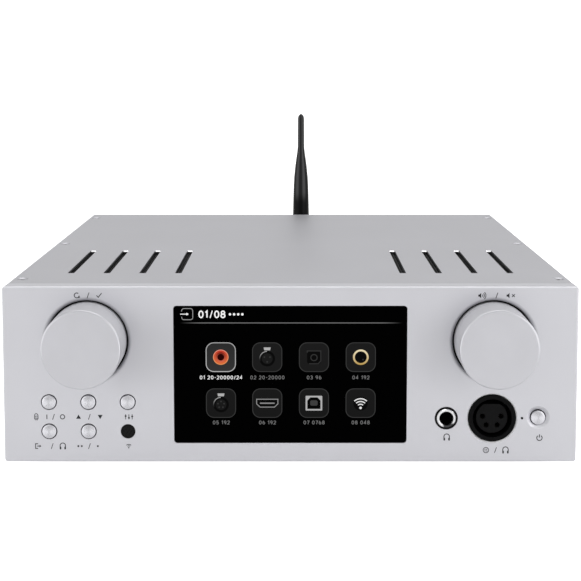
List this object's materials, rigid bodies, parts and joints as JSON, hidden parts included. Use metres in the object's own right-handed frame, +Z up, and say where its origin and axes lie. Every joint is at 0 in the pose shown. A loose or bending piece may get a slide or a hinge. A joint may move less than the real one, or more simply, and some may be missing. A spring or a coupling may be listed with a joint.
{
  "type": "headphone amplifier",
  "caption": "Desktop headphone amplifier in a silver case with a wide front display, turned knobs on either side, small push buttons, headphone sockets, vent slots on top and a rear antenna.",
  "frame": {"origin": "middle of the outline at the floor, under the feet", "axes": "+Z up, -Y out of the front panel, +X to the right seen from the front"},
  "size_m": [0.286, 0.306, 0.1683],
  "materials": {
    "panel_aluminium": "bead-blasted silver anodised",
    "case_aluminium": "fine satin silver anodised",
    "bottom_steel": "matt grey coat",
    "screw_steel": "plain steel",
    "bracket_steel": "zinc plated",
    "foot_plastic": "matt black",
    "pad_rubber": "black rubber",
    "display_glass": "black cover glass with a lit screen picture",
    "module_steel": "dark sheet metal",
    "knob_aluminium": "satin turned, silver anodised",
    "shaft_steel": "plain steel",
    "plunger_plastic": "natural nylon",
    "encoder_plastic": "black moulded",
    "button_aluminium": "satin turned, silver anodised",
    "ir_plastic": "dark infrared filter",
    "led_plastic": "clear light pipe",
    "socket_plastic": "black moulded",
    "bush_nickel": "nickel plated",
    "socket_metal": "black coated die casting",
    "contact_brass": "gold plated",
    "board_laminate": "dark green circuit board",
    "standoff_nylon": "white nylon",
    "transformer_core": "wound core in dark tape",
    "tube_glass": "clear glass envelope",
    "socket_ceramic": "white ceramic",
    "heat_sink_aluminium": "black anodised",
    "capacitor_sleeve": "dark sleeve",
    "inlet_plastic": "black moulded",
    "rocker_plastic": "black moulded",
    "rca_brass": "gold plated",
    "rca_plastic": "white or red moulded",
    "port_steel": "nickel plated sheet",
    "antenna_plastic": "black moulded",
    "antenna_rubber": "black flexible sleeve"
  },
  "bodies": {
    "case": {"front_panel": "panel_aluminium", "top_cover": "case_aluminium", "bottom_plate": "bottom_steel", "left_side_rail": "case_aluminium", "right_side_rail": "case_aluminium", "rear_panel": "case_aluminium", "case_screws": "screw_steel", "pan_head_screws": "screw_steel", "front_brackets": "bracket_steel", "feet": "foot_plastic", "foot_pads": "pad_rubber", "display_glass": "display_glass", "display_module": "module_steel", "display_bracket": "bracket_steel", "rotary_encoders": "encoder_plastic", "encoder_nuts": "shaft_steel", "key_switches": "encoder_plastic", "ir_window": "ir_plastic", "power_led": "led_plastic", "headphone_jack": "socket_plastic", "headphone_jack_bush": "bush_nickel", "balanced_socket_shell": "socket_metal", "balanced_socket_insert": "socket_plastic", "xlr_contacts": "contact_brass", "control_boards": "board_laminate", "main_board": "board_laminate", "board_standoffs": "standoff_nylon", "mains_transformer": "transformer_core", "transformer_clamp": "bracket_steel", "vacuum_tubes": "tube_glass", "tube_sockets": "socket_ceramic", "heat_sinks": "heat_sink_aluminium", "capacitors": "capacitor_sleeve", "mains_inlet": "inlet_plastic", "mains_inlet_pins": "contact_brass", "rca_jacks": "rca_brass", "rca_insulators": "rca_plastic", "xlr_shells": "socket_metal", "xlr_inserts": "socket_plastic", "usb_port": "port_steel", "hdmi_port": "port_steel", "optical_port": "socket_plastic", "antenna_connector": "rca_brass"},
    "scroll_push": {"scroll_plunger": "plunger_plastic"},
    "scroll_dial": {"scroll_knob": "knob_aluminium", "scroll_shaft": "shaft_steel"},
    "volume_push": {"volume_plunger": "plunger_plastic"},
    "volume_dial": {"volume_knob": "knob_aluminium", "volume_shaft": "shaft_steel"},
    "tube_key": {"tube_button": "button_aluminium"},
    "gain_key": {"gain_button": "button_aluminium"},
    "setup_key": {"setup_button": "button_aluminium"},
    "output_key": {"output_button": "button_aluminium"},
    "balance_key": {"balance_button": "button_aluminium"},
    "power_key": {"power_button": "button_aluminium"},
    "antenna_foot": {"antenna_base": "antenna_plastic"},
    "antenna_rod": {"antenna_whip": "antenna_rubber"},
    "fuse_tray": {"fuse_drawer": "inlet_plastic"},
    "mains_rocker": {"power_rocker": "rocker_plastic"}
  },
  "joints": [
    {"name": "scroll_press", "type": "slide", "parent": "case", "child": "scroll_push", "axis": [0, 1, 0], "range_m": [0, 0.0005], "stiffness_N_per_m": 2000, "springref_m": -0.0008},
    {"name": "scroll_turn", "type": "hinge", "parent": "scroll_push", "child": "scroll_dial", "pos_m": [-0.101, -0.135, 0.0694], "axis": [0, 1, 0], "continuous": true},
    {"name": "volume_press", "type": "slide", "parent": "case", "child": "volume_push", "axis": [0, 1, 0], "range_m": [0, 0.0005], "stiffness_N_per_m": 2000, "springref_m": -0.0008},
    {"name": "volume_turn", "type": "hinge", "parent": "volume_push", "child": "volume_dial", "pos_m": [0.101, -0.135, 0.0694], "axis": [0, 1, 0], "continuous": true},
    {"name": "tube_press", "type": "slide", "parent": "case", "child": "tube_key", "axis": [0, 1, 0], "range_m": [0, 0.0005], "stiffness_N_per_m": 600, "springref_m": -0.0008},
    {"name": "gain_press", "type": "slide", "parent": "case", "child": "gain_key", "axis": [0, 1, 0], "range_m": [0, 0.0005], "stiffness_N_per_m": 600, "springref_m": -0.0008},
    {"name": "setup_press", "type": "slide", "parent": "case", "child": "setup_key", "axis": [0, 1, 0], "range_m": [0, 0.0005], "stiffness_N_per_m": 600, "springref_m": -0.0008},
    {"name": "output_press", "type": "slide", "parent": "case", "child": "output_key", "axis": [0, 1, 0], "range_m": [0, 0.0005], "stiffness_N_per_m": 600, "springref_m": -0.0008},
    {"name": "balance_press", "type": "slide", "parent": "case", "child": "balance_key", "axis": [0, 1, 0], "range_m": [0, 0.0005], "stiffness_N_per_m": 600, "springref_m": -0.0008},
    {"name": "power_press", "type": "slide", "parent": "case", "child": "power_key", "axis": [0, 1, 0], "range_m": [0, 0.0005], "stiffness_N_per_m": 600, "springref_m": -0.0008},
    {"name": "antenna_swivel", "type": "hinge", "parent": "case", "child": "antenna_foot", "pos_m": [0.0066, 0.147, 0.064], "axis": [0, 1, 0], "range_deg": [-90, 90]},
    {"name": "antenna_tilt", "type": "hinge", "parent": "antenna_foot", "child": "antenna_rod", "pos_m": [0.0066, 0.147, 0.064], "axis": [-1, 0, 0], "range_deg": [0, 90]},
    {"name": "fuse_slide", "type": "slide", "parent": "case", "child": "fuse_tray", "axis": [0, 1, 0], "range_m": [0, 0.016]},
    {"name": "mains_switch", "type": "hinge", "parent": "case", "child": "mains_rocker", "pos_m": [-0.116, 0.1265, 0.068], "axis": [1, 0, 0], "range_deg": [-20, 0]}
  ]
}
